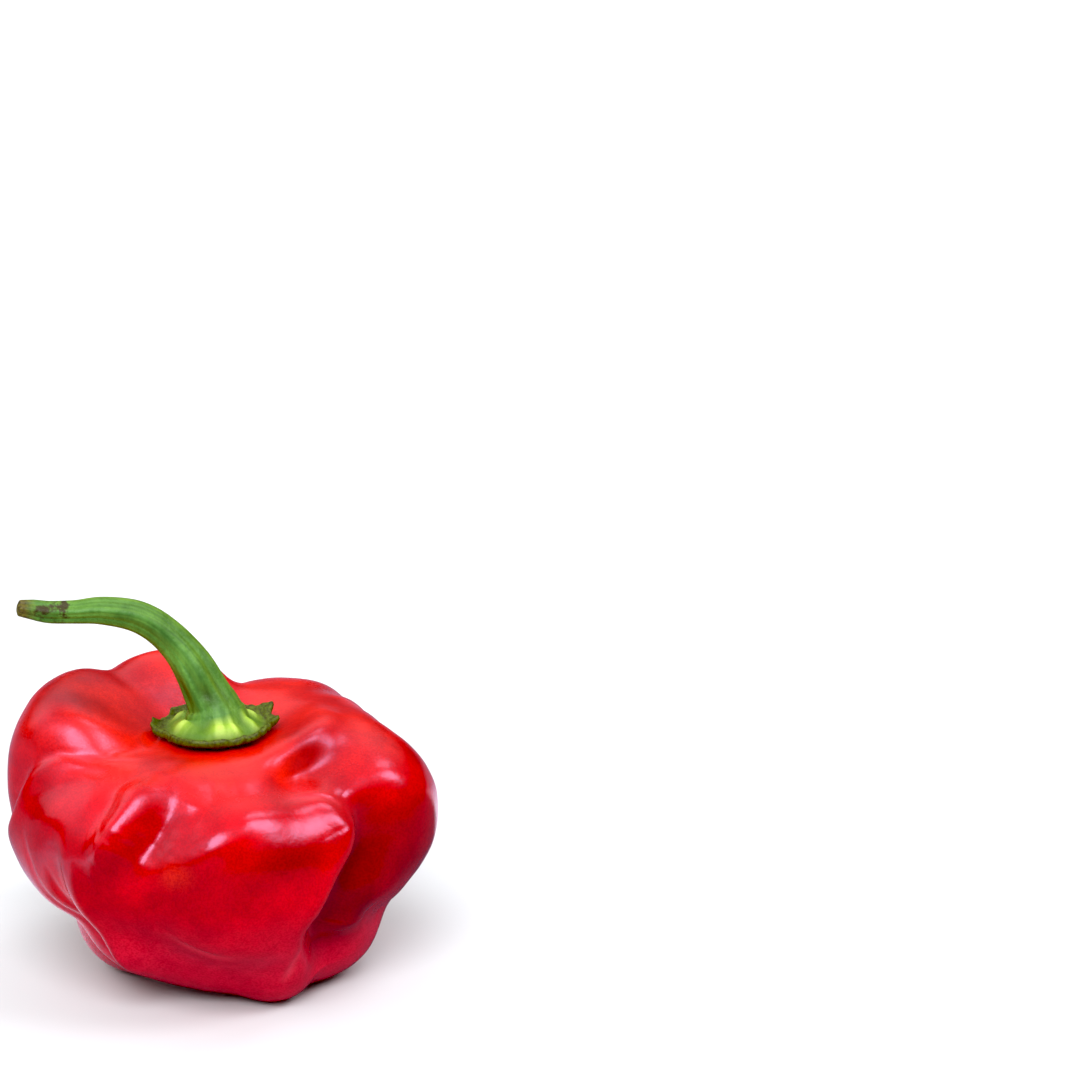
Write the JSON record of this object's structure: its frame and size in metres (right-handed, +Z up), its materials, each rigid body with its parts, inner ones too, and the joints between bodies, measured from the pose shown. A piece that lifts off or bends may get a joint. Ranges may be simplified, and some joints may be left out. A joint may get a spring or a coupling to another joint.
{
  "type": "sweet bonnet pepper",
  "caption": "Squat, deeply lobed red sweet bonnet pepper with a ragged green calyx and a long bent stem, standing on its low lobes.",
  "frame": {"origin": "on the surface that the pepper stands on, under the middle of its bounding box", "axes": "+Z up through the calyx, +X towards the side away from the stem's tip, -Y towards the wide front lobe"},
  "size_m": [0.0492, 0.0472, 0.0464],
  "materials": {
    "fruit_skin": "thin waxy pepper skin, satin to glossy",
    "stem_green": "matt green plant stem with fine ridges"
  },
  "bodies": {
    "root": {"fruit": "fruit_skin", "stem_with_calyx": "stem_green"}
  },
  "joints": []
}
